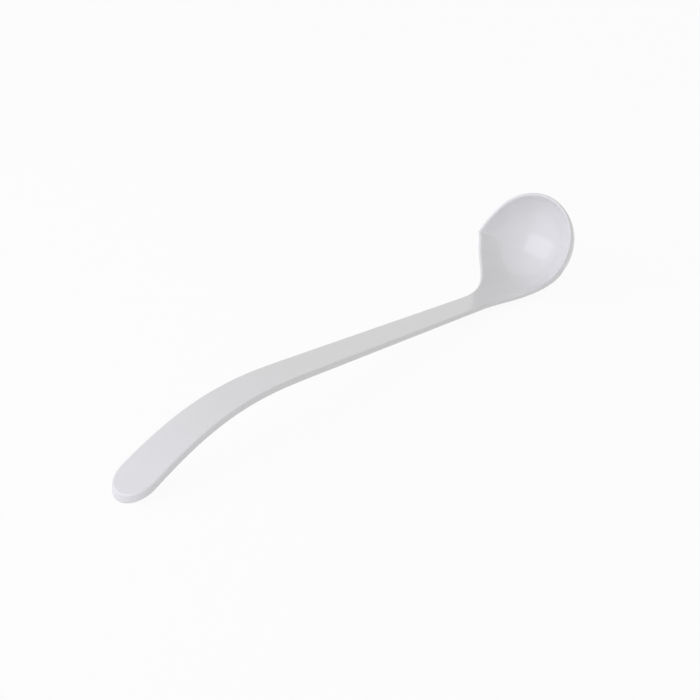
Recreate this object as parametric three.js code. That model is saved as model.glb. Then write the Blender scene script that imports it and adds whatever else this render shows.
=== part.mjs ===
// Dressing spoon: a white one-piece moulding with a round bowl, a pouring lip and a long bent handle.
// Millimetres, +Z up. It lies on its back, so the bowl and the end of the handle touch the plane Z = 0.
import * as THREE from 'three';
import { mergeVertices } from 'three/addons/utils/BufferGeometryUtils.js';

// Bowl, measured inside and about its own axis
const BOWL_RADIUS = 25.4;
const BOWL_DEPTH = 19;
const BOWL_WALL = 1.85;
const SHOULDER_AZIMUTH = 61; // degrees from the back of the bowl to the foot of the shoulder curve
const COLLAR_END = 87; // degrees from the back of the bowl to the end of the collar on the right
const CREASE_DEPTH = 11.6; // depth of the faint crease where the inside of the collar ends
const CREASE_SHARE = 0.4; // 1 would make the inside of the collar straight from rim to crease
const CREASE_AZIMUTHS = [-50, 40]; // degrees over which the crease comes in, from right to left

// Pouring lip, on the left only
const LIP_AZIMUTH = 85;
const LIP_REACH = 2.1;
const LIP_RUN = 36; // degrees over which the lip falls to the round front of the rim
const LIP_SHARPNESS = 4; // power with which the lip rises from the shoulder

// Handle, measured along its front face from the height of the rim
const HANDLE_LEAN = 27.5; // degrees between the shank and the axis of the bowl
const SHOULDER_RISE = 30.5; // length over which the shoulders draw in to the neck
const SHANK_LENGTH = 167.5; // straight length, up to the start of the bend
const GRIP_LENGTH = 119.5; // bent length, from there to the tip
const GRIP_BEND = 30; // degrees between the two ends of the grip
const NECK_WIDTH = 15.3;
const COLLAR_WALL = 2.3;
const TIP_WIDTH = 22.4;
const TIP_THICKNESS = 3.7;
const TIP_ROUND = 13.5; // length of the half-oval that closes the handle
const EDGE_ROUND = 0.9; // radius along every edge of the moulding, at most half the wall

// Moulded white plastic
const WHITE = 0xf1f0ee;
const GLOSS_ROUGHNESS = 0.28;

// Facets
const BACK_COLUMNS = 15;
const LIP_COLUMNS = 6;
const FRONT_COLUMNS = 42;
const BOWL_ROWS = 12;
const SHOULDER_ROWS = 12;
const GRIP_ROWS = 14;
const TIP_ROWS = 10;
const ROUND_STEPS = 3;
const PATH_STEPS = 60; // steps along the bent line of the grip
const TILT_STEPS = 50; // halvings in the search for the resting tilt
const DERIVATIVE_STEP = 1e-4;
const WELD = 1e-4;

const UP = new THREE.Vector3(0, 0, 1);
const lean = THREE.MathUtils.degToRad(HANDLE_LEAN);
const bend = THREE.MathUtils.degToRad(GRIP_BEND);
const shoulderAzimuth = THREE.MathUtils.degToRad(SHOULDER_AZIMUTH);
const lipAzimuth = THREE.MathUtils.degToRad(LIP_AZIMUTH);
const handleLength = SHANK_LENGTH + GRIP_LENGTH;

// The inside of the bowl is a half ellipsoid.
// The collar is the cone that touches it at the lean of the handle.
const touchAngle = Math.atan((Math.tan(lean) * BOWL_DEPTH) / BOWL_RADIUS);
const touchRadius = BOWL_RADIUS * Math.cos(touchAngle);
const touchHeight = -BOWL_DEPTH * Math.sin(touchAngle);
const collarRadius = touchRadius - touchHeight * Math.tan(lean);
const creaseRadius = BOWL_RADIUS * Math.sqrt(1 - (CREASE_DEPTH / BOWL_DEPTH) ** 2);
const shoulderHalfWidth = collarRadius * Math.sin(shoulderAzimuth);

// How far the wall has left the ellipsoid for the collar: 1 round the back, 0 round the front.
// The left side comes back to the round in front of the pouring lip.
function collarShare(azimuth) {
  const degrees = THREE.MathUtils.radToDeg(azimuth);
  if (degrees < 0) return 1 - THREE.MathUtils.smoothstep(-degrees, SHOULDER_AZIMUTH, COLLAR_END);
  return (1 - THREE.MathUtils.clamp((degrees - LIP_AZIMUTH) / LIP_RUN, 0, 1)) ** 2;
}

// How far the pouring lip stands out at the rim
function lipReach(azimuth) {
  if (azimuth > lipAzimuth) return LIP_REACH * collarShare(azimuth);
  const rise = THREE.MathUtils.clamp((azimuth - shoulderAzimuth) / (lipAzimuth - shoulderAzimuth), 0, 1);
  return LIP_REACH * rise ** LIP_SHARPNESS;
}

function creaseShare(azimuth) {
  return CREASE_SHARE * THREE.MathUtils.smoothstep(THREE.MathUtils.radToDeg(azimuth), ...CREASE_AZIMUTHS);
}

const aboveCrease = (height) => Math.max(0, 1 + height / CREASE_DEPTH);
const radial = (azimuth) => new THREE.Vector3(-Math.cos(azimuth), Math.sin(azimuth), 0);

// A point of the wall, the direction out of the bowl along the wall, and the way through the wall
function wallFrame(azimuth, radius, height, slope) {
  const outwards = radial(azimuth);
  const normal = UP.clone().multiplyScalar(Math.sin(slope)).addScaledVector(outwards, -Math.cos(slope));
  const wall = THREE.MathUtils.lerp(BOWL_WALL, COLLAR_WALL, collarShare(azimuth) * aboveCrease(height));
  return {
    point: outwards.clone().multiplyScalar(radius).addScaledVector(UP, height),
    out: UP.clone().multiplyScalar(Math.cos(slope)).addScaledVector(outwards, Math.sin(slope)),
    through: normal.multiplyScalar(-wall),
  };
}

// The rim is cut square to its wall in front and on the left.
// At the right shoulder it is cut along the axis of the bowl.
function axialShare(azimuth) {
  if (azimuth < -shoulderAzimuth) return collarShare(azimuth);
  return 1 - THREE.MathUtils.smoothstep(azimuth, -shoulderAzimuth, shoulderAzimuth);
}

// The way through the wall at an edge, turned from square to the wall towards the axis of the bowl
function turnedToAxis(through, share) {
  const square = through.clone().normalize();
  const cut = square.clone().lerp(UP.clone().negate(), share).normalize();
  return cut.multiplyScalar(through.length() / cut.dot(square));
}

function rimFrame(azimuth) {
  const share = collarShare(azimuth);
  const lip = lipReach(azimuth);
  const radius = THREE.MathUtils.lerp(BOWL_RADIUS, collarRadius, share) + lip;
  return wallFrame(azimuth, radius, 0, Math.atan(share * Math.tan(lean) + lip / CREASE_DEPTH));
}

// Below the rim: the plain wall of ellipsoid, collar and lip, and the inner face with its crease
function bowlFrame(azimuth, angle) {
  const height = -BOWL_DEPTH * Math.sin(angle);
  const above = aboveCrease(height);
  const share = height > touchHeight ? collarShare(azimuth) : 0;
  const bowlRadius = BOWL_RADIUS * Math.cos(angle);
  const coneRadius = collarRadius + height * Math.tan(lean);
  const bowlSlope = (BOWL_RADIUS / BOWL_DEPTH) * Math.tan(angle);
  const lip = lipReach(azimuth);
  const radius = THREE.MathUtils.lerp(bowlRadius, coneRadius, share) + lip * above;
  const lipSlope = above > 0 ? lip / CREASE_DEPTH : 0;
  const slope = THREE.MathUtils.lerp(bowlSlope, Math.tan(lean), share) + lipSlope;
  const frame = wallFrame(azimuth, radius, height, Math.atan(slope));

  const smoothRadius = height > touchHeight ? coneRadius : bowlRadius;
  const straightRadius = THREE.MathUtils.lerp(creaseRadius, collarRadius, above);
  const crease = above > 0 ? collarShare(azimuth) * creaseShare(azimuth) : 0;
  const inwards = radial(azimuth).multiplyScalar(crease * (straightRadius - smoothRadius));
  frame.inner = frame.point.clone().add(inwards);
  return frame;
}

// Handle: its heading from the axis of the bowl, its thickness and its half width, by distance from the rim
const heading = (s) => lean + bend * THREE.MathUtils.smoothstep(s, SHANK_LENGTH, handleLength);

function thicknessAt(s) {
  return THREE.MathUtils.mapLinear(Math.max(s, 0), 0, handleLength, COLLAR_WALL, TIP_THICKNESS);
}

function halfWidthAt(s) {
  return THREE.MathUtils.mapLinear(s, SHOULDER_RISE, handleLength, NECK_WIDTH, TIP_WIDTH) / 2;
}

function frontLine(s) {
  const straight = Math.min(s, SHANK_LENGTH);
  const point = new THREE.Vector3(-Math.sin(lean), 0, Math.cos(lean)).multiplyScalar(straight);
  const step = (s - straight) / PATH_STEPS;
  for (let i = 0; i < PATH_STEPS; i += 1) {
    const angle = heading(straight + (i + 0.5) * step);
    point.x -= Math.sin(angle) * step;
    point.z += Math.cos(angle) * step;
  }
  point.x -= collarRadius;
  return point;
}

// Front face of collar, neck and handle: round like the collar at the rim, flat across from the neck on.
// The edges of the bent grip stay square to the shank, the way that the mould opens.
const shankNormal = new THREE.Vector3(Math.cos(lean), 0, Math.sin(lean));
const roundness = (s) => 1 - THREE.MathUtils.smoothstep(s, 0, SHOULDER_RISE);

function coneRadiusAt(s) {
  return collarRadius + Math.min(s, SHOULDER_RISE) * Math.sin(lean);
}

function sheetFrame(s, y) {
  const point = frontLine(s);
  const angle = heading(s);
  const coneRadius = coneRadiusAt(s);
  const sideways = roundness(s) * Math.asin(y / coneRadius);
  point.x += roundness(s) * (coneRadius - Math.sqrt(coneRadius ** 2 - y ** 2));
  point.y = y;
  const normal = radial(sideways).multiplyScalar(-Math.cos(angle)).addScaledVector(UP, Math.sin(angle));
  const opening = s > SHANK_LENGTH ? shankNormal : normal;
  const through = opening.clone().multiplyScalar(-thicknessAt(s) / opening.dot(normal));
  return { point, normal, through };
}

// Left edge of the front face where it curves: the shoulder and the tip, each over a parameter from 0 to 1
function shoulderEdge(t) {
  const angle = (t * Math.PI) / 2;
  const s = SHOULDER_RISE * (1 - Math.cos(angle));
  const reach = shoulderHalfWidth - halfWidthAt(0);
  return [s, halfWidthAt(s) + reach * (1 - Math.sin(angle))];
}

function tipEdge(t) {
  const angle = (t * Math.PI) / 2;
  const s = handleLength - TIP_ROUND * (1 - Math.sin(angle));
  return [s, halfWidthAt(s) * Math.cos(angle)];
}

function edgeFrame(edge, t) {
  const frame = sheetFrame(...edge(t));
  const after = sheetFrame(...edge(t + DERIVATIVE_STEP)).point;
  const before = sheetFrame(...edge(t - DERIVATIVE_STEP)).point;
  frame.out = after.sub(before).normalize().cross(frame.normal);
  return frame;
}

// Left edge of the front face where the handle only tapers, for a section square to the handle
function sideFrame(s) {
  const frame = sheetFrame(s, halfWidthAt(s));
  frame.out = new THREE.Vector3(0, 1, 0);
  return frame;
}

// Points over a rounded edge, from the front face round to the back face
function edgeRing({ point, out, through }) {
  const thickness = through.length();
  const radius = Math.min(EDGE_ROUND, thickness / 2);
  const at = (inset, depth) => {
    return point.clone().addScaledVector(out, -inset).addScaledVector(through, depth / thickness);
  };
  const angles = Array.from({ length: ROUND_STEPS + 1 }, (_, i) => (i / ROUND_STEPS) * (Math.PI / 2));
  const inset = (angle) => radius * (1 - Math.sin(angle));
  const drop = (angle) => radius * (1 - Math.cos(angle));
  const front = angles.map((angle) => at(inset(angle), drop(angle)));
  const back = angles.map((angle) => at(inset(angle), thickness - drop(angle)));
  return [...front, ...back.reverse()];
}

const mirrored = (point) => new THREE.Vector3(point.x, -point.y, point.z);
const backOf = ({ point, through }) => point.clone().add(through);

// One closed section: left edge, back face, right edge, front face
function section(leftRing, rightRing, front = [], back = []) {
  return [...leftRing, ...back, ...rightRing.map(mirrored).reverse(), ...front.toReversed()];
}

function handleSection(frame) {
  const ring = edgeRing(frame);
  return section(ring, ring);
}

// Where on the sheet the back face ends at an edge
function backEnd(edge, thickness) {
  const s = (edge.z + thickness * Math.sin(lean)) / Math.cos(lean);
  const widening = (roundness(s) * thickness * Math.cos(lean)) / coneRadiusAt(s);
  return new THREE.Vector2(s, edge.y / (1 + widening));
}

// Between the rim and the neck, fractions of the half width place points across both faces.
// The back face starts lower on the right, where the edge is cut along the axis of the bowl.
function shoulderSection(frame, axial, fractions) {
  const leftRing = edgeRing(frame);
  const rightRing = edgeRing({ ...frame, through: turnedToAxis(frame.through, axial) });
  const start = leftRing[0];
  const s = start.z / Math.cos(lean);
  const front = fractions.map((fraction) => sheetFrame(s, fraction * start.y).point);

  const leftEnd = backEnd(leftRing.at(-1), thicknessAt(s));
  const rightEnd = backEnd(rightRing.at(-1), thicknessAt(s));
  rightEnd.y *= -1;
  const back = fractions.map((fraction) => {
    const place = rightEnd.clone().lerp(leftEnd, (fraction + 1) / 2);
    return backOf(sheetFrame(place.x, place.y));
  });
  return section(leftRing, rightRing, front, back);
}

const fractionsTo = (count) => Array.from({ length: count }, (_, i) => (i + 1) / count);

// Angles down the ellipsoid, from a depth below the rim to its bottom
function anglesBelow(depth) {
  const first = Math.asin(depth / BOWL_DEPTH);
  return fractionsTo(BOWL_ROWS).map((t) => THREE.MathUtils.lerp(first, Math.PI / 2, t));
}

// Triangles between rows of points; a row that closes on itself gets one more column
function patch(rows, closed) {
  const triangles = [];
  for (let i = 0; i + 1 < rows.length; i += 1) {
    const columns = rows[i].length - (closed ? 0 : 1);
    for (let j = 0; j < columns; j += 1) {
      const k = (j + 1) % rows[i].length;
      triangles.push([rows[i][j], rows[i][k], rows[i + 1][k]]);
      triangles.push([rows[i][j], rows[i + 1][k], rows[i + 1][j]]);
    }
  }
  return triangles;
}

function cap(loop, facesForward) {
  const centre = loop.reduce((sum, point) => sum.add(point), new THREE.Vector3()).divideScalar(loop.length);
  return loop.map((point, i) => {
    const next = loop[(i + 1) % loop.length];
    return facesForward ? [centre, point, next] : [centre, next, point];
  });
}

// One named piece of the moulding
function solid(name, triangles) {
  const whole = triangles.filter(([a, b, c]) => {
    return a.distanceTo(b) > WELD && b.distanceTo(c) > WELD && c.distanceTo(a) > WELD;
  });
  const geometry = new THREE.BufferGeometry().setFromPoints(whole.flat());
  const welded = mergeVertices(geometry, WELD);
  welded.computeVertexNormals();
  const plastic = new THREE.MeshStandardMaterial({ color: WHITE, roughness: GLOSS_ROUGHNESS, metalness: 0 });
  const mesh = new THREE.Mesh(welded, plastic);
  mesh.name = name;
  return mesh;
}

// Bowl with its collar, shoulders and neck, cut square to the shank where the shoulders end
function bowl() {
  const across = Array.from({ length: BACK_COLUMNS + 1 }, (_, j) => {
    return THREE.MathUtils.mapLinear(j, 0, BACK_COLUMNS, -shoulderAzimuth, shoulderAzimuth);
  });
  const toLip = fractionsTo(LIP_COLUMNS).map((t) => THREE.MathUtils.lerp(shoulderAzimuth, lipAzimuth, t));
  const pastLip = fractionsTo(FRONT_COLUMNS).map((t) => {
    return THREE.MathUtils.lerp(lipAzimuth, 2 * Math.PI - shoulderAzimuth, t);
  });
  const round = [shoulderAzimuth, ...toLip, ...pastLip];
  const signed = (azimuth) => (azimuth > Math.PI ? azimuth - 2 * Math.PI : azimuth);
  const column = (azimuth) => {
    const rim = rimFrame(azimuth);
    const ring = edgeRing({ ...rim, through: turnedToAxis(rim.through, axialShare(azimuth)) });
    const edge = ring.at(-1);
    const inner = anglesBelow(-ring[0].z).map((angle) => bowlFrame(azimuth, angle).inner);
    const outer = anglesBelow(rim.through.z - edge.z).map((angle) => backOf(bowlFrame(azimuth, angle)));
    return { inner: [...inner.reverse(), ring[0]], ring, outer: [edge, ...outer] };
  };
  const rowsOf = (columns, pick) => pick(columns[0]).map((_, i) => columns.map((c) => pick(c)[i]));

  const front = round.map((azimuth) => column(signed(azimuth)));
  const back = [front.at(-1), ...across.slice(1, -1).map(column), front[0]];
  const wholeWall = (c) => [...c.inner, ...c.ring.slice(1, -1), ...c.outer];

  const inside = back.slice(1, -1).reverse();
  const seam = [
    ...front[0].ring,
    ...inside.map((c) => c.outer[0]),
    ...front.at(-1).ring.slice().reverse(),
    ...inside.map((c) => c.inner.at(-1)).reverse(),
  ];
  const fractions = across.slice(1, -1).reverse().map((azimuth) => {
    return Math.sin(azimuth) / Math.sin(shoulderAzimuth);
  });
  const curved = fractionsTo(SHOULDER_ROWS).slice(0, -1);
  const shoulder = curved.map((t) => {
    return shoulderSection(edgeFrame(shoulderEdge, t), 1 - THREE.MathUtils.smoothstep(t, 0, 1), fractions);
  });
  const neck = shoulderSection(sideFrame(SHOULDER_RISE), 0, fractions);

  return solid('bowl', [
    ...patch(rowsOf(front, wholeWall)),
    ...patch(rowsOf(back, (c) => c.inner)),
    ...patch(rowsOf(back, (c) => c.outer)),
    ...patch([seam, ...shoulder, neck], true),
    ...cap(neck, true),
  ]);
}

// Straight shank, flat on both faces
function shank() {
  const ends = [SHOULDER_RISE, SHANK_LENGTH].map((s) => handleSection(sideFrame(s)));
  return solid('shank', [...cap(ends[0], false), ...patch(ends, true), ...cap(ends[1], true)]);
}

// Bent grip with its half-oval tip
function grip() {
  const bentLength = GRIP_LENGTH - TIP_ROUND;
  const sections = [0, ...fractionsTo(GRIP_ROWS)].map((t) => {
    return handleSection(sideFrame(SHANK_LENGTH + t * bentLength));
  });
  const ends = fractionsTo(TIP_ROWS).slice(0, -1);
  for (const t of ends) sections.push(handleSection(edgeFrame(tipEdge, t)));
  const end = edgeRing(edgeFrame(tipEdge, ends.at(-1)));
  const across = patch([end, end.map(mirrored)]);
  return solid('grip', [...cap(sections[0], false), ...patch(sections, true), ...across]);
}

// Lay the spoon on its back: turn it until the bowl and the grip reach equally far down
function lowest(mesh, tilt) {
  const positions = mesh.geometry.getAttribute('position');
  let low = Infinity;
  for (let i = 0; i < positions.count; i += 1) {
    low = Math.min(low, positions.getX(i) * Math.cos(tilt) + positions.getZ(i) * Math.sin(tilt));
  }
  return low;
}

function restingTilt(bowlMesh, gripMesh) {
  let least = 0;
  let most = Math.PI / 2;
  for (let i = 0; i < TILT_STEPS; i += 1) {
    const tilt = (least + most) / 2;
    if (lowest(gripMesh, tilt) < lowest(bowlMesh, tilt)) least = tilt;
    else most = tilt;
  }
  return least;
}

const pieces = [bowl(), shank(), grip()];
const lying = new THREE.Group();
lying.add(...pieces);
lying.rotation.y = restingTilt(pieces[0], pieces[2]) - Math.PI / 2;
const box = new THREE.Box3().setFromObject(lying, true);
lying.position.set(-(box.min.x + box.max.x) / 2, -(box.min.y + box.max.y) / 2, -box.min.z);

const spoon = new THREE.Group();
spoon.name = 'dressing_spoon';
spoon.add(lying);
export default spoon;
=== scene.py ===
import math

import bmesh
import bpy
from mathutils import Matrix, Vector


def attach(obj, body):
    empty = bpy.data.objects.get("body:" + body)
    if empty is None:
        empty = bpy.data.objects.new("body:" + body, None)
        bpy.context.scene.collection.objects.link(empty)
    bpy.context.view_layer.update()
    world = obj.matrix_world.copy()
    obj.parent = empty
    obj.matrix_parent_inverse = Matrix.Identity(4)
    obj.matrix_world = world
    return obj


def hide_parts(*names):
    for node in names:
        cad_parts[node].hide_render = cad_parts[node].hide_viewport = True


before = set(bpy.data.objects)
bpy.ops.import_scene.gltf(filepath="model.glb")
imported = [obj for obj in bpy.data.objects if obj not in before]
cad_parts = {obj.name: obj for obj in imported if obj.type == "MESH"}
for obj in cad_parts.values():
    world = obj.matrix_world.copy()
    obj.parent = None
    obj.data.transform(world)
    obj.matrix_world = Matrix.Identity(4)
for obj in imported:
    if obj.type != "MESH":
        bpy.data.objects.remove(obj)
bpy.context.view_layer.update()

# Dressing spoon, one white moulding, lying on its back. Sizes of the moulding are in millimetres and degrees.
MM = 0.001

# The smooth surface is this much smaller than the nominal sizes, so that it stays inside the spoon's box
RIM_INSET = 0.005
WALL_INSET = 0.07
TIP_INSET = 0.19

# Bowl, measured inside and about its own axis. Azimuths run from the middle of its back, left above zero.
BOWL_RADIUS = 25.4 - RIM_INSET
BOWL_DEPTH = 19.0
BOWL_WALL = 1.85 - WALL_INSET
SHOULDER_AZIMUTH = 61.0
COLLAR_END = 87.0
CREASE_DEPTH = 11.6
CREASE_SHARE = 0.4
CREASE_AZIMUTHS = (-50.0, 40.0)

# Pouring lip, on the left only
LIP_AZIMUTH = 85.0
LIP_REACH = 2.1
LIP_RUN = 36.0
LIP_SHARPNESS = 4.0

# Handle, measured along its front face from the height of the rim
HANDLE_LEAN = 27.5
SHOULDER_RISE = 30.5
SHANK_LENGTH = 167.5
GRIP_LENGTH = 119.5 - TIP_INSET
GRIP_BEND = 30.0
NECK_WIDTH = 15.3
COLLAR_WALL = 2.3 - WALL_INSET
TIP_WIDTH = 22.4
TIP_THICKNESS = 3.7
TIP_ROUND = 13.5

# Rounding of every edge, and how far below the rounded rim the faces of the bowl start
EDGE_ROUND = 0.9
RIM_CLEAR = 0.27

# How the spoon lies: the tilt of the bowl's axis above the table, and the place of the rim's centre
RESTING_TILT = 33.879
RIM_CENTRE = Vector((137.512, -1.763, 25.562))

# Fineness of the surface, with the welding distance in metres
BACK_COLUMNS = 72
LIP_COLUMNS = 36
FRONT_COLUMNS = 180
BOWL_ROWS = 48
SHOULDER_ROWS = 48
SHANK_ROWS = 40
GRIP_ROWS = 72
TIP_ROWS = 40
ROUND_STEPS = 7
PATH_STEPS = 80
DERIVATIVE_STEP = 1e-4
WELD = 1e-7

UP = Vector((0.0, 0.0, 1.0))
SIDEWAYS = Vector((0.0, 1.0, 0.0))
QUARTER_TURN = math.pi / 2.0
FULL_TURN = 2.0 * math.pi
QUAD_CORNERS = 4

lean = math.radians(HANDLE_LEAN)
bend = math.radians(GRIP_BEND)
shoulder_azimuth = math.radians(SHOULDER_AZIMUTH)
lip_azimuth = math.radians(LIP_AZIMUTH)
handle_length = SHANK_LENGTH + GRIP_LENGTH

# The inside of the bowl is a half ellipsoid.
# The collar is the cone that touches it at the lean of the handle.
# On its left, its inside goes part of the way to a straight line from the rim to a faint crease.
touch_angle = math.atan(math.tan(lean) * BOWL_DEPTH / BOWL_RADIUS)
touch_height = -BOWL_DEPTH * math.sin(touch_angle)
collar_radius = BOWL_RADIUS * math.cos(touch_angle) - touch_height * math.tan(lean)
crease_radius = BOWL_RADIUS * math.sqrt(1.0 - (CREASE_DEPTH / BOWL_DEPTH) ** 2)
shoulder_half_width = collar_radius * math.sin(shoulder_azimuth)
shank_normal = Vector((math.cos(lean), 0.0, math.sin(lean)))


def between(start, end, share):
    return start + (end - start) * share


def map_linear(value, low, high, at_low, at_high):
    return at_low + (at_high - at_low) * (value - low) / (high - low)


def evenly(count, start, end):
    """Values from start to end in equal steps, with both ends."""
    return [map_linear(i, 0, count, start, end) for i in range(count + 1)]


def share_between(value, low, high):
    return min(max((value - low) / (high - low), 0.0), 1.0)


def smoothstep(value, low, high):
    share = share_between(value, low, high)
    return share * share * (3.0 - 2.0 * share)


# Lines of points over the moulding: round the back of the bowl from the right shoulder to the left one,
# and across the handle from left to right, as shares of its half width
back_azimuths = evenly(BACK_COLUMNS, -shoulder_azimuth, shoulder_azimuth)
across = [math.sin(azimuth) / math.sin(shoulder_azimuth) for azimuth in back_azimuths[-2:0:-1]]


def front_azimuths():
    """Round the front of the bowl from the left shoulder over the lip to the right shoulder."""
    to_lip = evenly(LIP_COLUMNS, shoulder_azimuth, lip_azimuth)
    from_lip = evenly(FRONT_COLUMNS, lip_azimuth, FULL_TURN - shoulder_azimuth)
    all_round = to_lip[:-1] + from_lip
    return [azimuth - FULL_TURN if azimuth > math.pi else azimuth for azimuth in all_round]


def collar_share(azimuth):
    """How far the wall has left the ellipsoid for the collar: 1 round the back, 0 round the front."""
    degrees = math.degrees(azimuth)
    if degrees < 0.0:
        return 1.0 - smoothstep(-degrees, SHOULDER_AZIMUTH, COLLAR_END)
    return (1.0 - share_between(degrees, LIP_AZIMUTH, LIP_AZIMUTH + LIP_RUN)) ** 2


def lip_reach(azimuth):
    """How far the pouring lip stands out at the rim."""
    if azimuth > lip_azimuth:
        return LIP_REACH * collar_share(azimuth)
    return LIP_REACH * share_between(math.degrees(azimuth), SHOULDER_AZIMUTH, LIP_AZIMUTH) ** LIP_SHARPNESS


def crease_share(azimuth):
    """How far the collar's inside goes towards the straight line down to the crease."""
    return collar_share(azimuth) * CREASE_SHARE * smoothstep(math.degrees(azimuth), *CREASE_AZIMUTHS)


def above_crease(height):
    """1 at the rim, 0 at the crease and below it."""
    return max(0.0, 1.0 + height / CREASE_DEPTH)


def radial(azimuth):
    return Vector((-math.cos(azimuth), math.sin(azimuth), 0.0))


def wall_place(azimuth, radius, height, slope):
    """A point of the bowl's wall, the way out along the wall, and the way through the wall."""
    outwards = radial(azimuth)
    wall = between(BOWL_WALL, COLLAR_WALL, collar_share(azimuth) * above_crease(height))
    point = outwards * radius + UP * height
    out = UP * math.cos(slope) + outwards * math.sin(slope)
    through = (outwards * math.cos(slope) - UP * math.sin(slope)) * wall
    return point, out, through


def axial_share(azimuth):
    """The rim is cut square to its wall, 0, but along the axis of the bowl at the right shoulder, 1."""
    if azimuth < -shoulder_azimuth:
        return collar_share(azimuth)
    return 1.0 - smoothstep(azimuth, -shoulder_azimuth, shoulder_azimuth)


def turned_to_axis(through, share):
    """The way through the wall at an edge, turned from square to the wall towards the axis of the bowl."""
    square = through.normalized()
    down = square.lerp(-UP, share).normalized()
    return down * (through.length / down.dot(square))


def rim_place(azimuth):
    collar = collar_share(azimuth)
    lip = lip_reach(azimuth)
    radius = between(BOWL_RADIUS, collar_radius, collar) + lip
    return wall_place(azimuth, radius, 0.0, math.atan(collar * math.tan(lean) + lip / CREASE_DEPTH))


def bowl_place(azimuth, angle):
    """A point of the inner face and one of the outer face, below the rim."""
    height = -BOWL_DEPTH * math.sin(angle)
    on_collar = height > touch_height
    above = above_crease(height)
    collar = collar_share(azimuth) if on_collar else 0.0
    round_radius = BOWL_RADIUS * math.cos(angle)
    cone_radius = collar_radius + height * math.tan(lean)
    round_slope = BOWL_RADIUS / BOWL_DEPTH * math.tan(angle)
    lip = lip_reach(azimuth)
    radius = between(round_radius, cone_radius, collar) + lip * above
    lip_slope = lip / CREASE_DEPTH if above > 0.0 else 0.0
    slope = between(round_slope, math.tan(lean), collar) + lip_slope
    point, out, through = wall_place(azimuth, radius, height, math.atan(slope))
    smooth_radius = cone_radius if on_collar else round_radius
    straight_radius = between(crease_radius, collar_radius, above)
    crease = crease_share(azimuth) if above > 0.0 else 0.0
    inner = point + radial(azimuth) * (crease * (straight_radius - smooth_radius))
    return inner, point + through


def heading(along):
    """The angle between the handle and the axis of the bowl, which grows through the bend."""
    return lean + bend * smoothstep(along, SHANK_LENGTH, handle_length)


def thickness_at(along):
    return map_linear(max(along, 0.0), 0.0, handle_length, COLLAR_WALL, TIP_THICKNESS)


def half_width_at(along):
    return map_linear(along, SHOULDER_RISE, handle_length, NECK_WIDTH, TIP_WIDTH) / 2.0


def front_line(along):
    """The middle of the handle's front face, at a distance from the height of the rim."""
    straight = min(along, SHANK_LENGTH)
    point = Vector((-math.sin(lean), 0.0, math.cos(lean))) * straight
    step = (along - straight) / PATH_STEPS
    for i in range(PATH_STEPS):
        angle = heading(straight + (i + 0.5) * step)
        point += Vector((-math.sin(angle), 0.0, math.cos(angle))) * step
    point.x -= collar_radius
    return point


def roundness(along):
    """How far the sheet still follows the collar's cone: 1 at the rim, 0 from the neck on."""
    return 1.0 - smoothstep(along, 0.0, SHOULDER_RISE)


def cone_radius_at(along):
    return collar_radius + min(along, SHOULDER_RISE) * math.sin(lean)


def sheet_place(along, aside):
    """A point of the front face of collar, neck and handle, its normal, and the way through to the back."""
    point = front_line(along)
    angle = heading(along)
    cone_radius = cone_radius_at(along)
    sideways = roundness(along) * math.asin(aside / cone_radius)
    point.x += roundness(along) * (cone_radius - math.sqrt(cone_radius ** 2 - aside ** 2))
    point.y = aside
    normal = radial(sideways) * -math.cos(angle) + UP * math.sin(angle)
    opening = shank_normal if along > SHANK_LENGTH else normal
    through = opening * (-thickness_at(along) / opening.dot(normal))
    return point, normal, through


def shoulder_edge(share):
    """The quarter of an oval from the rim to the neck, as distances along the handle and aside."""
    angle = share * QUARTER_TURN
    along = SHOULDER_RISE * (1.0 - math.cos(angle))
    reach = shoulder_half_width - half_width_at(0.0)
    return along, half_width_at(along) + reach * (1.0 - math.sin(angle))


def tip_edge(share):
    """The quarter of an oval that closes one side of the tip."""
    angle = share * QUARTER_TURN
    along = handle_length - TIP_ROUND * (1.0 - math.sin(angle))
    return along, half_width_at(along) * math.cos(angle)


def edge_place(edge, share):
    """The left edge of the front face where it curves, with the way out square to the edge."""
    point, normal, through = sheet_place(*edge(share))
    after = sheet_place(*edge(share + DERIVATIVE_STEP))[0]
    before = sheet_place(*edge(share - DERIVATIVE_STEP))[0]
    return point, (after - before).normalized().cross(normal), through


def side_place(along):
    """The left edge of the front face where the handle only tapers."""
    point, normal, through = sheet_place(along, half_width_at(along))
    return point, SIDEWAYS, through


def edge_ring(point, out, through):
    """Points over a rounded edge, from the front face round to the back face."""
    thickness = through.length
    radius = min(EDGE_ROUND, thickness / 2.0)
    down = through / thickness
    front = []
    back = []
    for angle in evenly(ROUND_STEPS, 0.0, QUARTER_TURN):
        inset = radius * (1.0 - math.sin(angle))
        drop = radius * (1.0 - math.cos(angle))
        front.append(point - out * inset + down * drop)
        back.append(point - out * inset + down * (thickness - drop))
    return front + back[::-1]


def mirrored(point):
    return Vector((point.x, -point.y, point.z))


def loop_of(left_ring, right_ring, front, back):
    """One closed loop round the handle: left edge, back face, right edge, front face."""
    return left_ring + back + [mirrored(point) for point in reversed(right_ring)] + front[::-1]


def back_end(edge, thickness):
    """Where on the sheet the back face ends at an edge."""
    along = (edge.z + thickness * math.sin(lean)) / math.cos(lean)
    widening = roundness(along) * thickness * math.cos(lean) / cone_radius_at(along)
    return Vector((along, edge.y / (1.0 + widening)))


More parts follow.
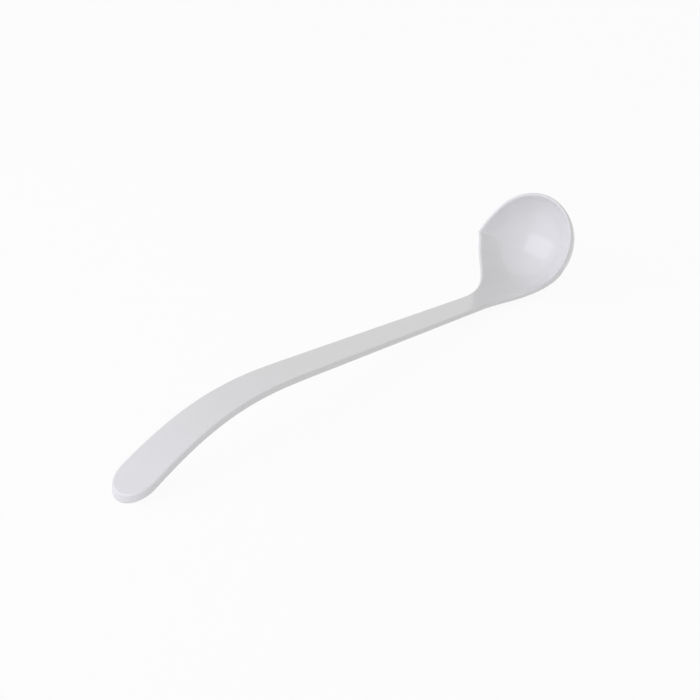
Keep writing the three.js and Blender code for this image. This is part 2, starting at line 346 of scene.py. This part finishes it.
def shoulder_loop(share):
    """A loop between rim and neck. On the right its edge turns from the axis of the bowl to square."""
    point, out, square = edge_place(shoulder_edge, share)
    axial = 1.0 - smoothstep(share, 0.0, 1.0)
    left_ring = edge_ring(point, out, square)
    right_ring = edge_ring(point, out, turned_to_axis(square, axial))
    start = left_ring[0]
    along = start.z / math.cos(lean)
    front = [sheet_place(along, fraction * start.y)[0] for fraction in across]
    left_end = back_end(left_ring[-1], thickness_at(along))
    right_end = back_end(right_ring[-1], thickness_at(along))
    right_end.y *= -1.0
    ends = [right_end.lerp(left_end, (fraction + 1.0) / 2.0) for fraction in across]
    back = [face + through for face, normal, through in (sheet_place(*end) for end in ends)]
    return loop_of(left_ring, right_ring, front, back)


def handle_loop(place):
    """A loop round the shank or the grip, the same on the left and on the right."""
    ring = edge_ring(*place)
    shares = [(1.0 - fraction) / 2.0 for fraction in across]
    front = [ring[0].lerp(mirrored(ring[0]), share) for share in shares]
    back = [ring[-1].lerp(mirrored(ring[-1]), share) for share in shares]
    return loop_of(ring, ring, front, back)


def handle_loops(rows, start, end):
    """Loops along a stretch of the handle that only tapers, with those at both of its ends."""
    return [handle_loop(side_place(along)) for along in evenly(rows, start, end)]


def down_from(depth):
    """Angles of the ellipsoid, from a depth below the rim to its bottom and not past it."""
    angles = evenly(BOWL_ROWS, math.asin(depth / BOWL_DEPTH), QUARTER_TURN)
    return [min(angle, QUARTER_TURN) for angle in angles]


def bowl_column(azimuth):
    """A line of points up the inside of the bowl, one over its rim, and one down the outside."""
    point, out, square = rim_place(azimuth)
    ring = edge_ring(point, out, turned_to_axis(square, axial_share(azimuth)))
    inner = [bowl_place(azimuth, angle)[0] for angle in down_from(RIM_CLEAR - ring[0].z)]
    outer = [bowl_place(azimuth, angle)[1] for angle in down_from(RIM_CLEAR - ring[-1].z + square.z)]
    return inner[::-1] + [ring[0]], ring, [ring[-1]] + outer


def laid_down(point):
    """From the bowl's own axes to the table, in metres."""
    turn = Matrix.Rotation(math.radians(RESTING_TILT) - QUARTER_TURN, 3, "Y")
    return (turn @ point + RIM_CENTRE) * MM


def add_strips(mesh, rows, closed):
    """Quads between rows of points. A closed row runs round to its own start."""
    grid = [[mesh.verts.new(laid_down(point)) for point in row] for row in rows]
    for upper, lower in zip(grid, grid[1:]):
        columns = len(upper) if closed else len(upper) - 1
        for column in range(columns):
            beside = (column + 1) % len(upper)
            mesh.faces.new((upper[column], upper[beside], lower[beside], lower[column]))


def add_cut(mesh, loop):
    """The flat face where two regions of the moulding meet."""
    mesh.faces.new([mesh.verts.new(laid_down(point)) for point in loop])


def put_in_scene(name, mesh, material):
    data = bpy.data.meshes.new(name)
    mesh.to_mesh(data)
    mesh.free()
    data.materials.append(material)
    thing = bpy.data.objects.new(name, data)
    bpy.context.scene.collection.objects.link(thing)
    return thing


def finish_piece(name, mesh, node, melamine):
    """Welds the surface, points its faces out, keeps the cuts crisp and stands the piece in for its node."""
    bmesh.ops.remove_doubles(mesh, verts=mesh.verts, dist=WELD)
    bmesh.ops.dissolve_degenerate(mesh, edges=mesh.edges, dist=WELD)
    bmesh.ops.recalc_face_normals(mesh, faces=mesh.faces)
    for face in mesh.faces:
        flat_cut = len(face.verts) > QUAD_CORNERS
        face.smooth = not flat_cut
        for edge in face.edges:
            if flat_cut:
                edge.smooth = False
    piece = put_in_scene(name, mesh, melamine)
    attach(piece, "root")
    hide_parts(node)


def make_bowl(melamine):
    """The bowl with its lip and collar, and the shoulders that draw in to the neck."""
    front = [bowl_column(azimuth) for azimuth in front_azimuths()]
    middle = [bowl_column(azimuth) for azimuth in back_azimuths[1:-1]]
    back = [front[-1]] + middle + [front[0]]
    left_ring = front[0][1]
    right_ring = front[-1][1]
    seam = left_ring + [outer[0] for inner, ring, outer in reversed(middle)]
    seam += right_ring[::-1] + [inner[-1] for inner, ring, outer in middle]
    neck = handle_loop(side_place(SHOULDER_RISE))
    rows_between = evenly(SHOULDER_ROWS, 0.0, 1.0)[1:-1]
    shoulders = [seam] + [shoulder_loop(share) for share in rows_between] + [neck]

    mesh = bmesh.new()
    add_strips(mesh, [inner + ring[1:-1] + outer for inner, ring, outer in front], closed=False)
    add_strips(mesh, [inner for inner, ring, outer in back], closed=False)
    add_strips(mesh, [outer for inner, ring, outer in back], closed=False)
    add_strips(mesh, shoulders, closed=True)
    add_cut(mesh, neck)
    finish_piece("moulded_bowl", mesh, "bowl", melamine)


def make_shank(melamine):
    """The straight, tapered length of the handle."""
    loops = handle_loops(SHANK_ROWS, SHOULDER_RISE, SHANK_LENGTH)
    mesh = bmesh.new()
    add_strips(mesh, loops, closed=True)
    add_cut(mesh, loops[0])
    add_cut(mesh, loops[-1])
    finish_piece("moulded_shank", mesh, "shank", melamine)


def make_grip(melamine):
    """The bent end of the handle, with its round tip."""
    loops = handle_loops(GRIP_ROWS, SHANK_LENGTH, handle_length - TIP_ROUND)
    for share in evenly(TIP_ROWS, 0.0, 1.0)[1:]:
        loops.append(handle_loop(edge_place(tip_edge, share)))
    mesh = bmesh.new()
    add_strips(mesh, loops, closed=True)
    add_cut(mesh, loops[0])
    finish_piece("moulded_grip", mesh, "grip", melamine)


def linear(hex_colour):
    """An sRGB hex colour as the linear colour that a shader takes."""
    channels = [int(hex_colour[i:i + 2], 16) / 255.0 for i in (0, 2, 4)]
    curve = [c / 12.92 if c <= 0.04045 else ((c + 0.055) / 1.055) ** 2.4 for c in channels]
    return (*curve, 1.0)


def add_node(tree, kind, inputs, **settings):
    """Adds a node, sets its settings, and gives each named input a value or a link."""
    node = tree.nodes.new(kind)
    for name, value in settings.items():
        setattr(node, name, value)
    for name, value in inputs.items():
        if isinstance(value, bpy.types.NodeSocket):
            tree.links.new(value, node.inputs[name])
        else:
            node.inputs[name].default_value = value
    return node


def new_tree(owner):
    owner.use_nodes = True
    owner.node_tree.nodes.clear()
    return owner.node_tree


def per_metre(size):
    """A pattern's scale, from the size of its grains in millimetres."""
    return 1.0 / (size * MM)


# Melamine, compression-moulded in a polished tool: a dense, opaque white with a glaze-like gloss.
# The eye sees soft-edged reflections that waver a little over the orange peel of the moulding,
# and a barely visible cloudiness where the filled resin flowed. Sizes are in millimetres.
RESIN_COLOURS = ("EFEEEC", "F4F3F1")
RESIN_IOR = 1.62
CLOUD_SIZE = 14.0
CLOUD_GRAIN = {"Detail": 3.0, "Roughness": 0.55}
GLOSS_ROUGHNESS = (0.07, 0.11)
HAZE_SIZE = 6.0
HAZE_GRAIN = {"Detail": 4.0, "Roughness": 0.6}
PEEL_SIZE = 2.4
PEEL_GRAIN = {"Detail": 1.0, "Roughness": 0.4}
PEEL_HEIGHT = 0.004


def make_melamine():
    material = bpy.data.materials.new("moulded_white_melamine")
    tree = new_tree(material)
    place = add_node(tree, "ShaderNodeTexCoord", {}).outputs["Object"]
    cloud = add_node(
        tree, "ShaderNodeTexNoise",
        {"Vector": place, "Scale": per_metre(CLOUD_SIZE), **CLOUD_GRAIN},
    )
    deep, pale = RESIN_COLOURS
    tint = add_node(
        tree, "ShaderNodeMix",
        {"Factor": cloud.outputs["Fac"], "A": linear(deep), "B": linear(pale)},
        data_type="RGBA",
    )
    haze = add_node(
        tree, "ShaderNodeTexNoise",
        {"Vector": place, "Scale": per_metre(HAZE_SIZE), **HAZE_GRAIN},
    )
    clear, hazy = GLOSS_ROUGHNESS
    gloss = add_node(
        tree, "ShaderNodeMapRange",
        {"Value": haze.outputs["Fac"], "To Min": clear, "To Max": hazy},
    )
    peel = add_node(
        tree, "ShaderNodeTexNoise",
        {"Vector": place, "Scale": per_metre(PEEL_SIZE), **PEEL_GRAIN},
    )
    skin = add_node(
        tree, "ShaderNodeBump",
        {"Height": peel.outputs["Fac"], "Strength": 1.0, "Distance": PEEL_HEIGHT * MM},
    )
    shader = add_node(
        tree, "ShaderNodeBsdfPrincipled",
        {
            "Base Color": tint.outputs["Result"],
            "Roughness": gloss.outputs["Result"],
            "Normal": skin.outputs["Normal"],
            "IOR": RESIN_IOR,
        },
    )
    add_node(tree, "ShaderNodeOutputMaterial", {"Surface": shader.outputs["BSDF"]})
    return material


def seen_rays(tree):
    """1 for a ray from the camera, or one that it sees in a reflection or through a clear thing, else 0."""
    light = add_node(tree, "ShaderNodeLightPath", {})
    seen = light.outputs["Is Camera Ray"]
    for kind in ("Is Glossy Ray", "Is Transmission Ray"):
        either = add_node(tree, "ShaderNodeMath", {0: seen, 1: light.outputs[kind]}, operation="MAXIMUM")
        seen = either.outputs["Value"]
    return seen


# Matt white paper sweep, its size in metres.
# Seen by the camera or in a reflection it is mostly plain white, and it keeps a share of the shadow.
BACKDROP_WHITE = "FFFFFF"
PAPER_COLOUR = "F2F2F2"
FLOOR_SIZE = 40.0
SHADOW_SHARE = 0.07


def make_floor():
    material = bpy.data.materials.new("matt_white_sweep")
    tree = new_tree(material)
    share = add_node(
        tree, "ShaderNodeMath",
        {0: seen_rays(tree), 1: 1.0 - SHADOW_SHARE},
        operation="MULTIPLY",
    )
    paper = add_node(tree, "ShaderNodeBsdfDiffuse", {"Color": linear(PAPER_COLOUR)})
    white = add_node(tree, "ShaderNodeEmission", {"Color": linear(BACKDROP_WHITE), "Strength": 1.0})
    both = add_node(
        tree, "ShaderNodeMixShader",
        {"Fac": share.outputs["Value"], 1: paper.outputs["BSDF"], 2: white.outputs["Emission"]},
    )
    add_node(tree, "ShaderNodeOutputMaterial", {"Surface": both.outputs["Shader"]})
    mesh = bmesh.new()
    bmesh.ops.create_grid(mesh, x_segments=1, y_segments=1, size=FLOOR_SIZE / 2.0)
    floor = put_in_scene("sweep", mesh, material)


def facing(place, target):
    """The turn of a camera or a lamp that looks from a place at a target."""
    return (target - place).to_track_quat("-Z", "Y").to_matrix()


# Camera of the photograph: its place and the point on the floor that it aims at, in metres, its roll in
# degrees, the side of the picture and the focal length in pixels, and the sensor in millimetres
EYE = Vector((-0.63384, -0.53158, 0.42709))
AIM = Vector((0.01679, 0.0179, 0.0))
ROLL = 0.444
IMAGE_SIDE = 700.0
FOCAL_PIXELS = 1900.0
SENSOR = 36.0


def make_camera():
    data = bpy.data.cameras.new("camera")
    data.sensor_width = SENSOR
    data.lens = SENSOR * FOCAL_PIXELS / IMAGE_SIDE
    camera = bpy.data.objects.new("camera", data)
    roll = Matrix.Rotation(math.radians(ROLL), 3, "Z")
    camera.matrix_world = Matrix.Translation(EYE) @ (facing(EYE, AIM) @ roll).to_4x4()
    bpy.context.scene.collection.objects.link(camera)
    bpy.context.scene.camera = camera


# Softbox: place, point that it faces, width and height in metres, watts and its cool white
KEY_PLACE = Vector((-0.434, 0.359, 0.428))
KEY_FACES = Vector((0.55, 0.16, 0.0))
KEY_WIDTH = 0.81
KEY_HEIGHT = 0.47
KEY_WATTS = 1.45
KEY_COLOUR = "F0F0FF"


def make_softbox():
    data = bpy.data.lights.new("key", "AREA")
    data.shape = "RECTANGLE"
    data.size = KEY_WIDTH
    data.size_y = KEY_HEIGHT
    data.energy = KEY_WATTS
    data.color = linear(KEY_COLOUR)[:3]
    key = bpy.data.objects.new("key", data)
    key.matrix_world = Matrix.Translation(KEY_PLACE) @ facing(KEY_PLACE, KEY_FACES).to_4x4()
    bpy.context.scene.collection.objects.link(key)


# Light from all round: from the walls of the studio, dimmer towards the dark side of its ceiling.
# WALL_REACH is the cosine, measured from that side, where the dimming starts.
WALL_COLOUR = "EFEFFF"
CEILING_COLOUR = "9D9D94"
CEILING_SIDE = Vector((0.25, -0.2, 0.947))
WALL_REACH = -0.26
STUDIO_LEVEL = 1.15


def make_studio():
    world = bpy.data.worlds.new("studio")
    bpy.context.scene.world = world
    tree = new_tree(world)
    direction = add_node(tree, "ShaderNodeTexCoord", {}).outputs["Generated"]
    upwards = add_node(
        tree, "ShaderNodeVectorMath",
        {0: direction, 1: CEILING_SIDE},
        operation="DOT_PRODUCT",
    )
    height = add_node(
        tree, "ShaderNodeMapRange",
        {"Value": upwards.outputs["Value"], "From Min": WALL_REACH, "From Max": 1.0},
    )
    shade = add_node(
        tree, "ShaderNodeMix",
        {"Factor": height.outputs["Result"], "A": linear(WALL_COLOUR), "B": linear(CEILING_COLOUR)},
        data_type="RGBA",
    )
    ambient = add_node(
        tree, "ShaderNodeBackground",
        {"Color": shade.outputs["Result"], "Strength": STUDIO_LEVEL},
    )
    white = add_node(tree, "ShaderNodeBackground", {"Color": linear(BACKDROP_WHITE), "Strength": 1.0})
    both = add_node(
        tree, "ShaderNodeMixShader",
        {"Fac": seen_rays(tree), 1: ambient.outputs["Background"], 2: white.outputs["Background"]},
    )
    add_node(tree, "ShaderNodeOutputWorld", {"Surface": both.outputs["Shader"]})


make_camera()
melamine = make_melamine()
make_bowl(melamine)
make_shank(melamine)
make_grip(melamine)
make_floor()
make_softbox()
make_studio()
bpy.context.scene.view_settings.view_transform = "Standard"
